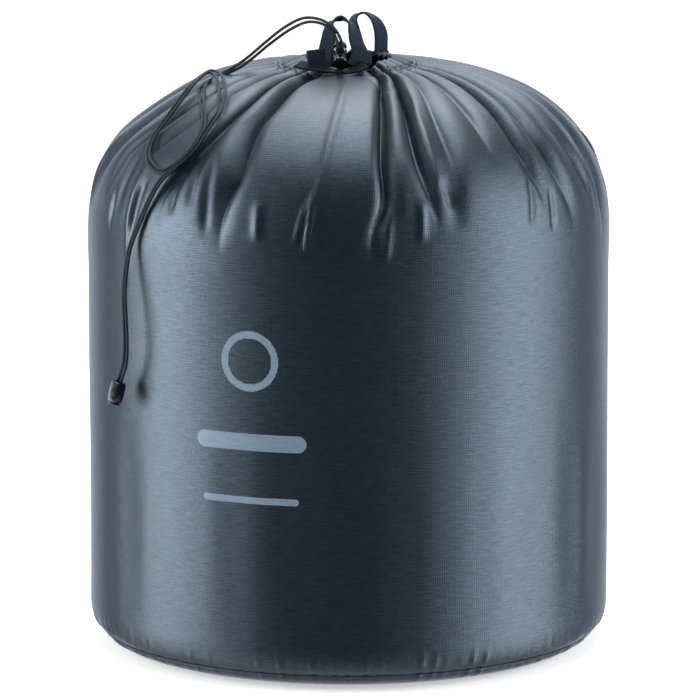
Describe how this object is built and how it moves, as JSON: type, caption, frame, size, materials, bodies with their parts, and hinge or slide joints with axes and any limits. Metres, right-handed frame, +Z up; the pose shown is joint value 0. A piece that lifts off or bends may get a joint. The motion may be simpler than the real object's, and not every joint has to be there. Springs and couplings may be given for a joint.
{
  "type": "drawstring pack sack",
  "caption": "Full drawstring pack sack of ripstop fabric with a gathered mouth, spring cord lock, webbing loops and a cord end.",
  "frame": {"origin": "on the floor under the middle of the base panel", "axes": "+Z up through the mouth, front with the cord lock towards -Y, +X to the right of the front"},
  "size_m": [0.28, 0.2809, 0.3434],
  "materials": {
    "ripstop": "satin",
    "base_cloth": "satin",
    "thread": "matte",
    "webbing": "matte",
    "cord": "satin",
    "lock_plastic": "gloss",
    "end_plastic": "gloss",
    "spring_steel": "satin"
  },
  "bodies": {
    "sack": {"side_panel": "ripstop", "base_panel": "base_cloth", "base_seam": "webbing", "side_seam": "ripstop", "hem_channel": "ripstop", "hem_stitching": "thread", "drawcord_in_hem": "cord", "front_band": "webbing", "tab_left": "webbing", "tab_right": "webbing", "loop_roots": "webbing", "cord_left": "cord", "cord_right": "cord", "end_barrel": "end_plastic", "cord_knot": "cord"},
    "front_loop": {"grab_loop_front": "webbing"},
    "back_loop": {"grab_loop_back": "webbing"},
    "lock": {"lock_barrel": "lock_plastic", "lock_spring": "spring_steel"},
    "plunger": {"lock_plunger": "lock_plastic"},
    "cord_end_plug": {"end_plug": "end_plastic"}
  },
  "joints": [
    {"name": "front_loop_flop", "type": "hinge", "parent": "sack", "child": "front_loop", "pos_m": [-0.002, -0.0215, 0.3192], "axis": [1, 0, 0], "range_deg": [-25, 4], "stiffness_Nm_per_rad": 0.002},
    {"name": "back_loop_flop", "type": "hinge", "parent": "sack", "child": "back_loop", "pos_m": [0.0112, 0.021, 0.3192], "axis": [1, 0, 0], "range_deg": [-14, 12], "stiffness_Nm_per_rad": 0.002},
    {"name": "lock_slide", "type": "slide", "parent": "sack", "child": "lock", "axis": [0, -0.6428, 0.766], "range_m": [0, 0.003]},
    {"name": "plunger_press", "type": "slide", "parent": "lock", "child": "plunger", "axis": [0, -0.766, -0.6428], "range_m": [0, 0.002], "stiffness_N_per_m": 900, "deforming": ["lock_spring"]},
    {"name": "plug_pull", "type": "slide", "parent": "sack", "child": "cord_end_plug", "axis": [-0.2419, 0, -0.9703], "range_m": [0, 0.006]}
  ]
}
